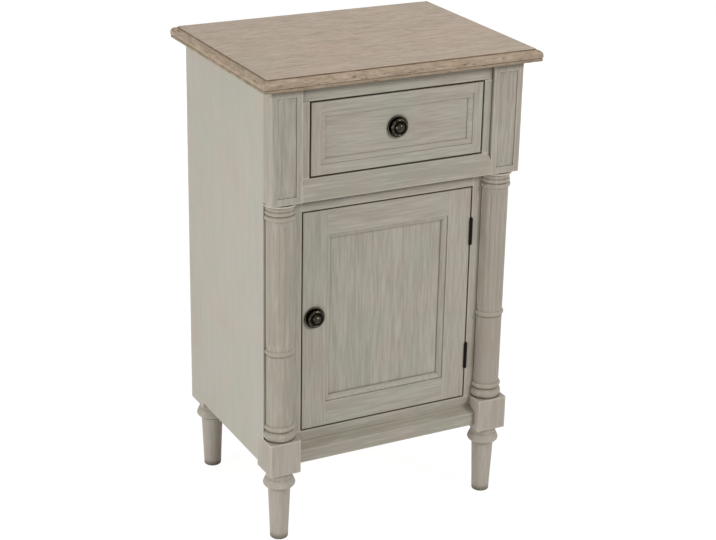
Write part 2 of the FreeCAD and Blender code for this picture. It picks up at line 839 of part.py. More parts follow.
def leaf_seat(level, side):
    """Cutter for the shallow seat of a leaf in its stile."""
    x0, x1 = leaf_span(side)
    low = level - hinge_length / 2
    return box(x0, x1, hinge_y, hinge_y + hinge_leaf_width, low, low + hinge_length)


def barrel_room(level):
    """Cutter that clears the hinge barrel and its pin heads."""
    reach = hinge_length / 2 + hinge_pin_head_height + hinge_barrel_clearance
    return post(hinge_barrel_radius + hinge_barrel_clearance, hinge_x, hinge_y, level - reach, level + reach)


def screw_levels(level):
    """Heights of the two screws of a leaf."""
    return (level - hinge_screw_spacing / 2, level + hinge_screw_spacing / 2)


def countersunk(grown):
    """Countersunk screw pointing up from its flat head, grown all round by a clearance."""
    stops = [
        (hinge_screw_head_radius + grown, 0),
        (hinge_screw_radius + grown, hinge_screw_head_depth),
        (hinge_screw_radius + grown, hinge_screw_length + grown),
    ]
    return turned(stops, 0, 0, 0)


def leaf_screws(level, side, grown):
    """The screws of one leaf, or with some growth the holes that they need."""
    near = hinge_x + side * hinge_leaf_gap / 2
    middle = hinge_y + (hinge_barrel_radius + hinge_leaf_width) / 2
    direction = FreeCAD.Vector(side, 0, 0)
    return [laid(countersunk(grown), direction, near, middle, z) for z in screw_levels(level)]


def screw_holes(level, side):
    """Cutter for the screws of one leaf."""
    return Part.Compound(leaf_screws(level, side, hinge_pin_clearance))


def hinge_screws(side):
    """The screws of both leaves on one side."""
    return Part.Compound([screw for level in hinge_levels for screw in leaf_screws(level, side, 0)])


def hinge_leaf(level, side):
    """One leaf: its plate, its share of the knuckles and the holes of its screws."""
    x0, x1 = leaf_span(side)
    low = level - hinge_length / 2
    clear = hinge_barrel_radius + hinge_barrel_clearance
    leaf = box(x0, x1, hinge_y + clear, hinge_y + hinge_leaf_width, low, low + hinge_length)
    pitch = (hinge_length + hinge_knuckle_gap) / hinge_knuckles
    first = 0 if side > 0 else 1
    for index in range(first, hinge_knuckles, 2):
        start = low + index * pitch
        end = start + pitch - hinge_knuckle_gap
        leaf = leaf.fuse(post(hinge_barrel_radius, hinge_x, hinge_y, start, end))
        leaf = leaf.fuse(box(x0, x1, hinge_y, hinge_y + clear, start, end))
    bore_radius = hinge_pin_radius + hinge_pin_clearance
    bore = post(bore_radius, hinge_x, hinge_y, low - cut_overrun, low + hinge_length + cut_overrun)
    return leaf.cut(bore).cut(screw_holes(level, side)).removeSplitter()


def hinge_pin(level):
    """Pin with a low button at both ends of the barrel."""
    low = -hinge_length / 2
    high = hinge_length / 2
    head = hinge_pin_head_radius
    rise = hinge_pin_head_height
    stops = [
        (head / 2, low - rise),
        (head, low, head * head_round_share, low - rise / 2),
        (hinge_pin_radius, low),
        (hinge_pin_radius, high),
        (head, high),
        (head / 2, high + rise, head * head_round_share, high + rise / 2),
    ]
    return turned(stops, hinge_x, hinge_y, level)


def catch_middle():
    """X of the middle of the catch, near the knob side of the door."""
    return -door_half + catch_distance + catch_width / 2


def catch_body():
    """Magnetic catch behind the top rail, reaching down behind the door."""
    x = catch_middle()
    low = door_high - catch_drop
    rear = frame_back + catch_thickness
    body = box(x - catch_width / 2, x + catch_width / 2, frame_back, rear, low, low + catch_height)
    return eased(body, catch_ease, lambda c: same(c.y, rear))


def carcass_pieces():
    """Every piece that stands still, by node name."""
    pieces = {
        "top_slab": top_slab(),
        "back_panel": back_panel(),
        "cupboard_floor": cupboard_floor(),
        "dust_panel": dust_panel(),
        "drawer_guides": drawer_guides(),
        "top_cleats": top_cleats(),
        "top_fixing_screws": top_fixing_screws(),
        "drawer_stops": drawer_stops(),
        "surround_top_rail": surround_top_rail(),
        "frieze_rail": frieze_rail(),
        "frame_top_rail": frame_top_rail(),
        "frame_bottom_rail": frame_bottom_rail(),
        "base_moulding": base_moulding(),
        "left_frame_stile": mirrored(right_frame_stile()),
        "right_frame_stile": hinged_frame_stile(),
        "foot_hanger_bolts": foot_hanger_bolts(),
        "hinge_frame_leaves": Part.Compound([hinge_leaf(level, 1) for level in hinge_levels]),
        "hinge_frame_screws": hinge_screws(1),
        "hinge_pins": Part.Compound([hinge_pin(level) for level in hinge_levels]),
        "catch_body": catch_body(),
    }
    pairs = {
        "side_panel": right_side_panel(),
        "surround_stile": right_surround_stile(),
        "frieze_block": right_frieze_block(),
        "column": right_column(),
        "plinth_block": right_plinth_block(),
        "rear_block": right_rear_block(),
    }
    for name, piece in pairs.items():
        pieces["right_" + name] = piece
        pieces["left_" + name] = mirrored(piece)
    for side, x in (("left", -post_x), ("right", post_x)):
        pieces["front_" + side + "_foot"] = foot(x, post_front_y)
        pieces["rear_" + side + "_foot"] = foot(x, post_rear_y)
    return pieces


def main():
    """Build every piece and write one file for each."""
    os.makedirs("parts", exist_ok=True)
    for pieces in (carcass_pieces(), drawer_pieces(), door_pieces()):
        for name, piece in pieces.items():
            piece.exportStep("parts/" + name + ".step")


main()
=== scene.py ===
"""Dresses a nightstand: brushed paint with brown glaze and painted shade, a washed oak top, bronze fittings,
a plain studio.
"""

import logging
import math
from dataclasses import dataclass, replace
from enum import Enum
from typing import Sequence

import bmesh
import bpy
from mathutils import Matrix, Vector


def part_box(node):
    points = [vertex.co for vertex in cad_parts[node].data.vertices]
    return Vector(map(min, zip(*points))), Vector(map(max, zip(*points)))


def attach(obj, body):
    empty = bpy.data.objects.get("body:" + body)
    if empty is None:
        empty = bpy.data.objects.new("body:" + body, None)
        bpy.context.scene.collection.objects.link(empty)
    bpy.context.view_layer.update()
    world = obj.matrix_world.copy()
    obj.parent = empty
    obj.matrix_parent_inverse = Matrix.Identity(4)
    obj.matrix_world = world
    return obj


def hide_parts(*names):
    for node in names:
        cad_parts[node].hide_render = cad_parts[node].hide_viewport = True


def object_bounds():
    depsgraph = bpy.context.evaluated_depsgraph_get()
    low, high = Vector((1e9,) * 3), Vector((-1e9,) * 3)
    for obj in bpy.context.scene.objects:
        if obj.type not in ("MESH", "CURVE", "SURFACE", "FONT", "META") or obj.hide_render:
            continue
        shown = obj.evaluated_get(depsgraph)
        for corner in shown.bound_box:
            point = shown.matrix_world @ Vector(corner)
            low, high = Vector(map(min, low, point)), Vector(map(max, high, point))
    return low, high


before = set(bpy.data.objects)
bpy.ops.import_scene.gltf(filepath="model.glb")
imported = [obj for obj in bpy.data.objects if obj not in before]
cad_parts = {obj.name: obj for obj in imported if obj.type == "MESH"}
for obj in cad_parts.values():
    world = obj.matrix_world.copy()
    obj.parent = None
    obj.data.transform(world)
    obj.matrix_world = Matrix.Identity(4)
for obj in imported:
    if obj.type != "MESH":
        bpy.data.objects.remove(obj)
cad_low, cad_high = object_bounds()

log = logging.getLogger("nightstand")

SOCKET_KINDS = {1: "NodeSocketFloat", 3: "NodeSocketVector", 4: "NodeSocketColor"}
ORIGIN = (0.0, 0.0, 0.0)
WHITE = (1.0, 1.0, 1.0, 1.0)

Colour = tuple[float, float, float, float]
Triple = tuple[float, float, float]
Pair = tuple[float, float]
Names = tuple[str, ...]
Material = bpy.types.Material
Socket = bpy.types.NodeSocket
Tree = bpy.types.NodeTree
Corner = bmesh.types.BMVert
Source = Socket | float | Sequence[float]


def tint(*shares: int) -> Colour:
    """Turns a colour as a screen shows it into the linear one that shaders take.

    Args:
        shares: red, green and blue, up to 255.

    Returns:
        The linear colour, opaque.
    """
    levels = [share / 255 for share in shares]
    # The numbers are those of the standard screen curve
    linear = [level / 12.92 if level <= 0.04045 else ((level + 0.055) / 1.055) ** 2.4 for level in levels]
    return (*linear, 1.0)


class Grain(Enum):
    """Which way a board's grain and the brush run."""

    UPRIGHT = 2
    CROSSWISE = 0
    DEEP = 1

    def stretch(self, share: float) -> tuple[float, ...]:
        """Gives the scale of a pattern on each axis.

        Args:
            share: scale along the grain, small for long marks.

        Returns:
            The three scales.
        """
        return tuple(share if axis == self.value else 1.0 for axis in range(3))


@dataclass(frozen=True)
class BrushWork:
    """How the brush, the glaze and the rag were used, and how much shade is painted on, each as a share.

    The glaze in corners is partly painted shade, the gap share paints shade inside narrow gaps,
    and the shade share paints the soft shadow under an overhang.
    The reaches are how far the glaze and the painted shade spread from a corner, in metres.
    The shade starts where the open share of the sky falls to shade_start, and is full at shade_full.
    """

    lines: float
    strokes: float
    rub: float
    warmth: float
    glaze: float
    shade: float
    gap: float
    reach: float = 0.004
    shade_reach: float = 0.024
    shade_start: float = 0.9
    shade_full: float = 0.55


class Wear(Enum):
    """Kinds of brush work on the painted pieces, and of the shade painted into their corners, gaps and
    overhangs.
    """

    CALM = BrushWork(lines=0.25, strokes=0.20, rub=0.10, warmth=0.0, glaze=0.6, shade=0.0, gap=0.8)
    FRAMED = BrushWork(lines=0.75, strokes=0.45, rub=0.0, warmth=0.1, glaze=0.8, shade=0.0, gap=1.0)
    BRUSHED = BrushWork(lines=1.00, strokes=0.75, rub=0.45, warmth=0.1, glaze=0.5, shade=0.15, gap=0.55)
    STILE = BrushWork(
        lines=0.90, strokes=0.60, rub=0.45, warmth=0.1, glaze=0.9, shade=0.05, gap=0.8, reach=0.002)
    # BLOCK paints a band of shade just under the top's lip
    BLOCK = replace(STILE, shade=0.5, gap=0.6, shade_reach=0.013, shade_start=0.96, shade_full=0.82)
    PLINTH = BrushWork(
        lines=0.45, strokes=0.55, rub=0.70, warmth=0.7, glaze=0.4, shade=0.08, gap=0.35, reach=0.003)
    TURNED = BrushWork(
        lines=1.00, strokes=1.00, rub=0.60, warmth=0.5, glaze=0.7, shade=0.1, gap=0.35, reach=0.0025)
    # FOOT paints the shade under the plinth block on the neck; its rub on the ring's edge is partly a painted
    # highlight
    FOOT = BrushWork(
        lines=0.45, strokes=0.50, rub=0.90, warmth=0.6, glaze=0.5, shade=1.0, gap=0.6, reach=0.004,
        shade_reach=0.014, shade_start=0.90, shade_full=0.68)
    # SHELTERED and UNDERCUT paint the shadow under the top and under the frieze rail
    SHELTERED = BrushWork(lines=0.80, strokes=0.50, rub=0.20, warmth=0.1, glaze=0.55, shade=0.85, gap=0.8)
    UNDERCUT = replace(SHELTERED, shade=1.0, shade_reach=0.014, shade_start=0.995, shade_full=0.92)


class NodeBench:
    """Places and links the nodes of one tree; a colour mix has its colours on sockets of their own."""

    middle: Pair = (0.3, 0.7)
    mix_below: int = 6
    mix_above: int = 7
    mix_result: int = 2

    def __init__(self, tree: Tree) -> None:
        """Works on a tree that exists."""
        self.tree = tree

    def add(self, kind: str, **settings: object) -> bpy.types.Node:
        """Adds a node.

        Args:
            kind: the node's type name.
            settings: properties to set on it.

        Returns:
            The new node.
        """
        node = self.tree.nodes.new(kind)
        for name, value in settings.items():
            setattr(node, name, value)
        return node

    def feed(self, target: Socket, source: Source) -> None:
        """Links a socket to an input, or sets the input to a constant.

        Args:
            target: the input.
            source: a socket, a number or a vector.
        """
        if isinstance(source, Socket):
            self.tree.links.new(source, target)
        else:
            target.default_value = source

    def math(self, operation: str, first: Source, second: Source = 0.0,
             kind: str = "ShaderNodeMath") -> Socket:
        """Joins two values.

        Args:
            operation: the sum to do.
            first: first value.
            second: second value.
            kind: type name of the node that does it.

        Returns:
            The resulting value.
        """
        node = self.add(kind, operation=operation)
        self.feed(node.inputs[0], first)
        self.feed(node.inputs[1], second)
        return node.outputs[0]

    def vector(self, operation: str, first: Source, second: Source) -> Socket:
        """Joins two vectors, or a vector and a factor."""
        return self.math(operation, first, second, "ShaderNodeVectorMath")

    def blend(self, share: Source, first: Source, second: Source, mode: str = "MIX",
              strength: Source = 1.0) -> Socket:
        """Lays one colour over another.

        Args:
            share: how much of the second colour shows.
            first: colour below.
            second: colour above.
            mode: how they mix.
            strength: factor on the share.

        Returns:
            The mixed colour.
        """
        node = self.add("ShaderNodeMix", data_type="RGBA", blend_type=mode)
        self.feed(node.inputs[0], share if strength == 1.0 else self.math("MULTIPLY", share, strength))
        self.feed(node.inputs[self.mix_below], first)
        self.feed(node.inputs[self.mix_above], second)
        return node.outputs[self.mix_result]

    def noise(self, place: Source, scale: Source, detail: float, roughness: float) -> Socket:
        """Adds a cloudy pattern.

        Args:
            place: where the pattern is read.
            scale: repeats per metre.
            detail: octaves of finer pattern.
            roughness: strength of the finer pattern.

        Returns:
            The pattern, about a half on average.
        """
        node = self.add("ShaderNodeTexNoise")
        self.feed(node.inputs["Vector"], place)
        self.feed(node.inputs["Scale"], scale)
        node.inputs["Detail"].default_value = detail
        node.inputs["Roughness"].default_value = roughness
        return node.outputs["Fac"]

    def remap(self, value: Source, low: Source, high: Source, to_low: float = 0.0,
              to_high: float = 1.0) -> Socket:
        """Stretches a range of values onto another and clamps it.

        Args:
            value: what is stretched.
            low: value that becomes to_low.
            high: value that becomes to_high.
            to_low: start of the new range.
            to_high: end of the new range.

        Returns:
            The stretched value.
        """
        node = self.add("ShaderNodeMapRange")
        self.feed(node.inputs["Value"], value)
        for name, bound in (("From Min", low), ("From Max", high), ("To Min", to_low), ("To Max", to_high)):
            self.feed(node.inputs[name], bound)
        return node.outputs["Result"]

    def between(self, share: Source, ends: Pair) -> Socket:
        """Runs from one number to another as a share runs from zero to one."""
        return self.remap(share, 0.0, 1.0, *ends)

    def spread(self, pattern: Source) -> Socket:
        """Stretches the middle of a cloudy pattern over the full range."""
        return self.remap(pattern, *self.middle)

    def place(self, group: Tree, given: dict[str, Source]) -> bpy.types.NodeOutputs:
        """Places a shared effect.

        Args:
            group: the effect's node group.
            given: values for its inputs.

        Returns:
            The effect's outputs.
        """
        node = self.add("ShaderNodeGroup", node_tree=group)
        for name, value in given.items():
            self.feed(node.inputs[name], value)
        return node.outputs


def socket_kind(value: float | Sequence[float]) -> str:
    """Names the type of socket that holds a number, a vector or a colour."""
    return SOCKET_KINDS[1 if isinstance(value, float) else len(value)]


class Effects:
    """The shader node groups that several finishes share, each built once.

    A range holds the values of a pattern, or of the open share of the sky, at which a mask is empty and full.
    """

    scatter: Triple = (7.3, 4.1, 9.7)
    sky_samples: int = 8
    recess_range: Pair = (0.95, 0.55)
    edge_range: Pair = (0.9, 0.55)
    gap_range: Pair = (0.5, 0.25)
    break_ends: Pair = (0.55, 1.3)
    drift_range: Pair = (0.45, 0.65)
    pore_range: Pair = (0.6, 0.72)
    tarnish_range: Pair = (0.35, 0.68)
    speck_factor: float = 7.0

    def __init__(self) -> None:
        """Builds every group."""
        self.board_vector = self._board_vector()
        self.brush_strokes = self._brush_strokes()
        self.recess_and_edge = self._recess_and_edge()
        self.shelter = self._shelter()
        self.colour_drift = self._colour_drift()
        self.wood_figure = self._wood_figure()
        self.patina = self._patina()

    @staticmethod
    def _open(name: str, inputs: dict[str, float | tuple[float, ...]]
              ) -> tuple[NodeBench, bpy.types.NodeOutputs]:
        """Starts a group with the sockets that each finish sets.

        Args:
            name: the group's name.
            inputs: the sockets and their first values.

        Returns:
            A bench on the group, and what the group is given.
        """
        bench = NodeBench(bpy.data.node_groups.new(name, "ShaderNodeTree"))
        for title, value in inputs.items():
            socket = bench.tree.interface.new_socket(title, in_out="INPUT", socket_type=socket_kind(value))
            socket.default_value = value
        return bench, bench.add("NodeGroupInput").outputs

    @staticmethod
    def _close(bench: NodeBench, outputs: dict[str, Socket]) -> Tree:
        """Ends a group with the sockets that it gives back.

        Args:
            bench: bench on the group.
            outputs: the sockets and what they give.

        Returns:
            The effect's node group.
        """
        for title, source in outputs.items():
            kind = socket_kind(source.default_value)
            bench.tree.interface.new_socket(title, in_out="OUTPUT", socket_type=kind)
        result = bench.add("NodeGroupOutput").inputs
        for title, source in outputs.items():
            bench.feed(result[title], source)
        return bench.tree

    def _board_vector(self) -> Tree:
        """Place on a board, drawn out along its grain and shifted so that no two boards look alike.

        Returns:
            The effect's node group.
        """
        bench, given = self._open("board_vector", {"Stretch": (1.0, 1.0, 1.0), "Shift": 1.0})
        place = bench.add("ShaderNodeTexCoord").outputs["Object"]
        chance = bench.math("MULTIPLY", bench.add("ShaderNodeObjectInfo").outputs["Random"], given["Shift"])
        moved = bench.vector("ADD", place, bench.vector("MULTIPLY", self.scatter, chance))
        return self._close(bench, {"Vector": bench.vector("MULTIPLY", moved, given["Stretch"])})

    def _brush_strokes(self) -> Tree:
        """Marks of the bristles: fine lines within broader strokes.

        Returns:
            The effect's node group.
        """
        bench, given = self._open("brush_strokes", {"Vector": ORIGIN, "Fine": 430.0, "Broad": 120.0})
        lines = bench.noise(given["Vector"], given["Fine"], detail=2.0, roughness=0.5)
        strokes = bench.noise(given["Vector"], given["Broad"], detail=3.0, roughness=0.6)
        return self._close(bench, {
            "Lines": bench.spread(lines), "Strokes": bench.spread(strokes),
            "Height": bench.math("ADD", lines, strokes)})

    def _recess_and_edge(self) -> Tree:
        """Masks of corners, which take glaze and painted shade, of narrow gaps, which take painted shade, and
        of rubbed edges.
        The corner and edge masks are broken up by a pattern.

        Returns:
            The effect's node group.
        """
        bench, given = self._open(
            "recess_and_edge", {"Recess Reach": 0.004, "Edge Reach": 0.004, "Break": 0.5})
        outside = bench.add("ShaderNodeAmbientOcclusion", samples=self.sky_samples)
        inside = bench.add(
            "ShaderNodeAmbientOcclusion", samples=self.sky_samples, inside=True, only_local=True)
        bench.feed(outside.inputs["Distance"], given["Recess Reach"])
        bench.feed(inside.inputs["Distance"], given["Edge Reach"])
        uneven = bench.between(given["Break"], self.break_ends)
        recess = bench.remap(outside.outputs["AO"], *self.recess_range)
        edge = bench.remap(inside.outputs["AO"], *self.edge_range)
        return self._close(bench, {
            "Recess": bench.remap(bench.math("MULTIPLY", recess, uneven), 0.0, 1.0),
            "Gap": bench.remap(outside.outputs["AO"], *self.gap_range),
            "Edge": bench.remap(bench.math("MULTIPLY", edge, uneven), 0.0, 1.0)})

    def _shelter(self) -> Tree:
        """Mask of painted shade: the soft dark band where shadow falls under an overhang.

        Returns:
            The effect's node group.
        """
        bench, given = self._open("shelter", {"Reach": 0.0, "Start": 0.0, "Full": 0.0})
        around = bench.add("ShaderNodeAmbientOcclusion", samples=self.sky_samples)
        bench.feed(around.inputs["Distance"], given["Reach"])
        return self._close(bench, {"Shade": bench.remap(around.outputs["AO"], given["Start"], given["Full"])})

    def _colour_drift(self) -> Tree:
        """Slow drift of a colour towards a warm and a cool neighbour.

        Returns:
            The effect's node group.
        """
        bench, given = self._open(
            "colour_drift", {"Vector": ORIGIN, "Scale": 9.0, "Base": WHITE, "Warm": WHITE, "Cool": WHITE})
        first = bench.noise(given["Vector"], given["Scale"], detail=3.0, roughness=0.5)
        away = bench.vector("ADD", given["Vector"], self.scatter)
        second = bench.noise(away, given["Scale"], detail=3.0, roughness=0.5)
        warmed = bench.blend(bench.remap(first, *self.drift_range), given["Base"], given["Warm"])
        cooled = bench.blend(bench.remap(second, *self.drift_range), warmed, given["Cool"])
        return self._close(bench, {"Colour": cooled})

    def _wood_figure(self) -> Tree:
        """Growth lines, pores and fine fibre of sawn wood.

        Returns:
            The effect's node group.
        """
        bench, given = self._open(
            "wood_figure", {"Vector": ORIGIN, "Ring": 60.0, "Fibre": 420.0, "Pore": 900.0})
        rings = bench.noise(given["Vector"], given["Ring"], detail=5.0, roughness=0.62)
        fibres = bench.noise(given["Vector"], given["Fibre"], detail=3.0, roughness=0.6)
        away = bench.vector("ADD", given["Vector"], self.scatter)
        pores = bench.noise(away, given["Pore"], detail=2.0, roughness=0.5)
        open_pores = bench.remap(pores, *self.pore_range)
        return self._close(bench, {
            "Rings": bench.spread(rings), "Fibres": bench.spread(fibres), "Pores": open_pores,
            "Height": bench.math("SUBTRACT", fibres, open_pores)})

    def _patina(self) -> Tree:
        """Uneven tarnish or mottle, and the dullness that goes with it.

        Returns:
            The effect's node group.
        """
        bench, given = self._open("patina", {"Vector": ORIGIN, "Scale": 1.0})
        cloud = bench.noise(given["Vector"], given["Scale"], detail=4.0, roughness=0.6)
        finer = bench.math("MULTIPLY", given["Scale"], self.speck_factor)
        speck = bench.noise(given["Vector"], finer, detail=2.0, roughness=0.5)
        return self._close(bench, {
            "Tarnish": bench.remap(cloud, *self.tarnish_range), "Dullness": bench.spread(speck),
            "Height": bench.math("ADD", cloud, speck)})


def open_material(name: str) -> tuple[NodeBench, bpy.types.Node, Material]:
    """Starts a material with its shader and nothing else.

    Args:
        name: the material's name.

    Returns:
        A bench on its nodes, its shader and the material.
    """
    material = bpy.data.materials.new(name)
    material.use_nodes = True
    bench = NodeBench(material.node_tree)
    bench.tree.nodes.clear()
    shader = bench.add("ShaderNodeBsdfPrincipled")
    bench.feed(bench.add("ShaderNodeOutputMaterial").inputs["Surface"], shader.outputs["BSDF"])
    return bench, shader, material


class Finish:
    """A finish with its shine, and with its relief's depth in metres and strength."""

    specular: float
    relief: Pair

    def _fill(self, bench: NodeBench, shader: bpy.types.Node, colour: Source, dull: Source,
              height: Source) -> None:
        """Gives a shader its colour, its shine and its fine relief.

        Args:
            bench: bench of the material.
            shader: the material's shader.
            colour: the finished colour.
            dull: the roughness.
            height: the relief, from 0 to 1.
        """
        bump = bench.add("ShaderNodeBump")
        bump.inputs["Distance"].default_value, bump.inputs["Strength"].default_value = self.relief
        bench.feed(bump.inputs["Height"], height)
        bench.feed(shader.inputs["Normal"], bump.outputs["Normal"])
        bench.feed(shader.inputs["Base Color"], colour)
        bench.feed(shader.inputs["Roughness"], dull)
        shader.inputs["Specular IOR Level"].default_value = self.specular


@dataclass(frozen=True)
class BrushedPaint(Finish):
    """Greige paint put on with a dry brush, wiped with brown glaze and rubbed along the edges.

    Shade is painted into its corners, its narrow gaps and under overhangs.
    """

    grain: Grain
    wear: Wear
    base: Colour = tint(181, 176, 165)
    warm: Colour = tint(180, 171, 161)
    cool: Colour = tint(176, 175, 163)
    line_shade: Colour = (0.76, 0.735, 0.70, 1.0)
    # glaze in corners, partly painted shade
    glaze: Colour = tint(112, 100, 76)
    # painted shade, multiplied in under overhangs
    shade: Colour = (0.40, 0.385, 0.36, 1.0)
    # painted shade: the dark inside of narrow gaps
    gap: Colour = tint(58, 48, 34)
    rubbed: Colour = tint(204, 197, 180)
    stretch: float = 0.06
    drift_scale: float = 13.0
    dullness: Pair = (0.66, 0.54)
    specular: float = 0.25
    relief: Pair = (0.0004, 0.4)

    def make(self, effects: Effects) -> Material:
        """Builds the material.

        Args:
            effects: the shared node groups.

        Returns:
            The painted finish for boards of this grain, wear and painted shade.
        """
        work = self.wear.value
        bench, shader, material = open_material(f"paint_{self.grain.name}_{self.wear.name}".lower())
        along = bench.place(effects.board_vector, {"Stretch": self.grain.stretch(self.stretch)})["Vector"]
        even = bench.place(effects.board_vector, {"Shift": 0.0})["Vector"]
        strokes = bench.place(effects.brush_strokes, {"Vector": along})
        drift = bench.place(effects.colour_drift, {
            "Vector": even, "Scale": self.drift_scale,
            "Base": self.base, "Warm": self.warm, "Cool": self.cool})
        masks = bench.place(effects.recess_and_edge, {
            "Recess Reach": work.reach, "Break": strokes["Strokes"]})
        warmed = bench.blend(work.warmth, drift["Colour"], self.warm)
        dark = bench.blend(1.0, warmed, self.line_shade, "MULTIPLY")
        lines = bench.math("MULTIPLY", strokes["Lines"], work.lines)
        broad = bench.math("MULTIPLY", strokes["Strokes"], work.strokes)
        brushed = bench.blend(bench.math("ADD", lines, broad), warmed, dark)
        rubbed = bench.blend(masks["Edge"], brushed, self.rubbed, strength=work.rub)
        # Glaze in corners: partly a real glaze, partly painted shade
        glazed = bench.blend(masks["Recess"], rubbed, self.glaze, strength=work.glaze)
        # Painted shadow under overhangs, darkest next to the overhang
        if work.shade:
            shelter = bench.place(effects.shelter, {
                "Reach": work.shade_reach, "Start": work.shade_start, "Full": work.shade_full})
            glazed = bench.blend(shelter["Shade"], glazed, self.shade, "MULTIPLY", work.shade)
        # Painted shade inside narrow gaps, where the roughness is raised too
        gap = bench.math("MULTIPLY", masks["Gap"], work.gap)
        colour = bench.blend(gap, glazed, self.gap)
        dull = bench.math("MAXIMUM", bench.between(strokes["Lines"], self.dullness), gap)
        self._fill(bench, shader, colour, dull, strokes["Height"])
        return material


@dataclass(frozen=True)
class WashedOak(Finish):
    """Oak with a pale wash in its pores: a crosswise field inside a band that runs along each edge.

    Scales and shares are given for the field and for the band,
    and glaze_shares above and below the groove.
    The band is darkened partly as its own stain and partly as painted shade, and the lip below the groove
    as painted shade. The glaze in the step and the groove is partly painted shade.
    """

    low: Vector
    high: Vector
    band: float = 0.0082
    base: Colour = tint(172, 155, 138)
    warm: Colour = tint(179, 157, 141)
    cool: Colour = tint(165, 153, 135)
    late_wood: Colour = tint(140, 121, 102)
    wash: Colour = tint(202, 187, 170)
    pore: Colour = tint(112, 90, 70)
    # darker band: partly its own stain, partly painted shade
    band_stain: Colour = (0.79, 0.75, 0.68, 1.0)
    lip_height: float = 0.0056
    # painted shade on the lip below the groove
    lip_stain: Colour = (0.84, 0.83, 0.79, 1.0)
    # glaze in the step and the groove, partly painted shade
    glaze: Colour = tint(100, 78, 56)
    field_stretch: float = 0.1
    band_stretch: float = 0.25
    ring_scales: Pair = (60.0, 110.0)
    fibre_scales: Pair = (420.0, 240.0)
    pore_scales: Pair = (620.0, 380.0)
    ring_shares: Pair = (0.55, 0.75)
    fibre_shares: Pair = (0.6, 0.8)
    pore_shares: Pair = (0.5, 0.8)
    edge_reach: float = 0.002
    edge_share: float = 0.25
    glaze_shares: Pair = (0.9, 0.3)
    dullness: Pair = (0.68, 0.54)
    specular: float = 0.3
    relief: Pair = (0.0005, 0.5)

    def make(self, effects: Effects) -> Material:
        """Builds the material.

        Args:
            effects: the shared node groups.

        Returns:
            The oak of the top.
        """
        bench, shader, material = open_material("washed_oak")
        across, band, lip = self._zones(bench)
        field_vector, front_vector, side_vector = (
            bench.place(effects.board_vector, {"Stretch": grain.stretch(share)})["Vector"]
            for grain, share in ((Grain.CROSSWISE, self.field_stretch), (Grain.CROSSWISE, self.band_stretch),
                                 (Grain.DEEP, self.band_stretch)))
        vector = bench.blend(band, field_vector, bench.blend(across, front_vector, side_vector))
        even = bench.place(effects.board_vector, {})["Vector"]
        figure = bench.place(effects.wood_figure, {
            "Vector": vector, "Ring": bench.between(band, self.ring_scales),
            "Fibre": bench.between(band, self.fibre_scales), "Pore": bench.between(band, self.pore_scales)})
        drift = bench.place(effects.colour_drift, {
            "Vector": even, "Base": self.base, "Warm": self.warm, "Cool": self.cool})
        masks = bench.place(effects.recess_and_edge, {
            "Edge Reach": self.edge_reach, "Break": figure["Rings"]})
        wood = drift["Colour"]
        for pattern, colour, shares in (("Rings", self.late_wood, self.ring_shares),
                                        ("Fibres", self.wash, self.fibre_shares),
                                        ("Pores", self.pore, self.pore_shares)):
            wood = bench.blend(figure[pattern], wood, colour, strength=bench.between(band, shares))
        # The band darkened partly as stain and partly as painted shade, and the lip as painted shade
        stained = bench.blend(band, wood, self.band_stain, "MULTIPLY")
        deeper = bench.blend(lip, stained, self.lip_stain, "MULTIPLY")
        rubbed = bench.blend(masks["Edge"], deeper, self.wash, strength=self.edge_share)
        # Glaze in the step and the groove, partly painted shade, thinner on the lip
        glaze_share = bench.between(lip, self.glaze_shares)
        glazed = bench.blend(masks["Recess"], rubbed, self.glaze, strength=glaze_share)
        dull = bench.between(figure["Fibres"], self.dullness)
        self._fill(bench, shader, glazed, dull, figure["Height"])
        return material

    def _zones(self, bench: NodeBench) -> tuple[Socket, ...]:
        """Finds the moulded band round the top.

        Args:
            bench: bench of the material.

        Returns:
            Where the band runs front to back, where there is any band, and where the groove and the lip are.
        """
        centre = (self.low + self.high) / 2
        half = (self.high - self.low) / 2
        place = bench.add("ShaderNodeTexCoord").outputs["Object"]
        parts = bench.add("ShaderNodeSeparateXYZ")
        bench.feed(parts.inputs[0], bench.vector("SUBTRACT", place, centre))
        from_side = bench.math("SUBTRACT", half.x, bench.math("ABSOLUTE", parts.outputs["X"]))
        from_front = bench.math("SUBTRACT", half.y, bench.math("ABSOLUTE", parts.outputs["Y"]))
        nearest = bench.math("MINIMUM", from_side, from_front)
        band = bench.math("LESS_THAN", nearest, self.band)
        side = bench.math("LESS_THAN", from_side, from_front)
        lip = bench.math("LESS_THAN", parts.outputs["Z"], self.lip_height - half.z)
        return bench.math("MULTIPLY", band, side), band, lip


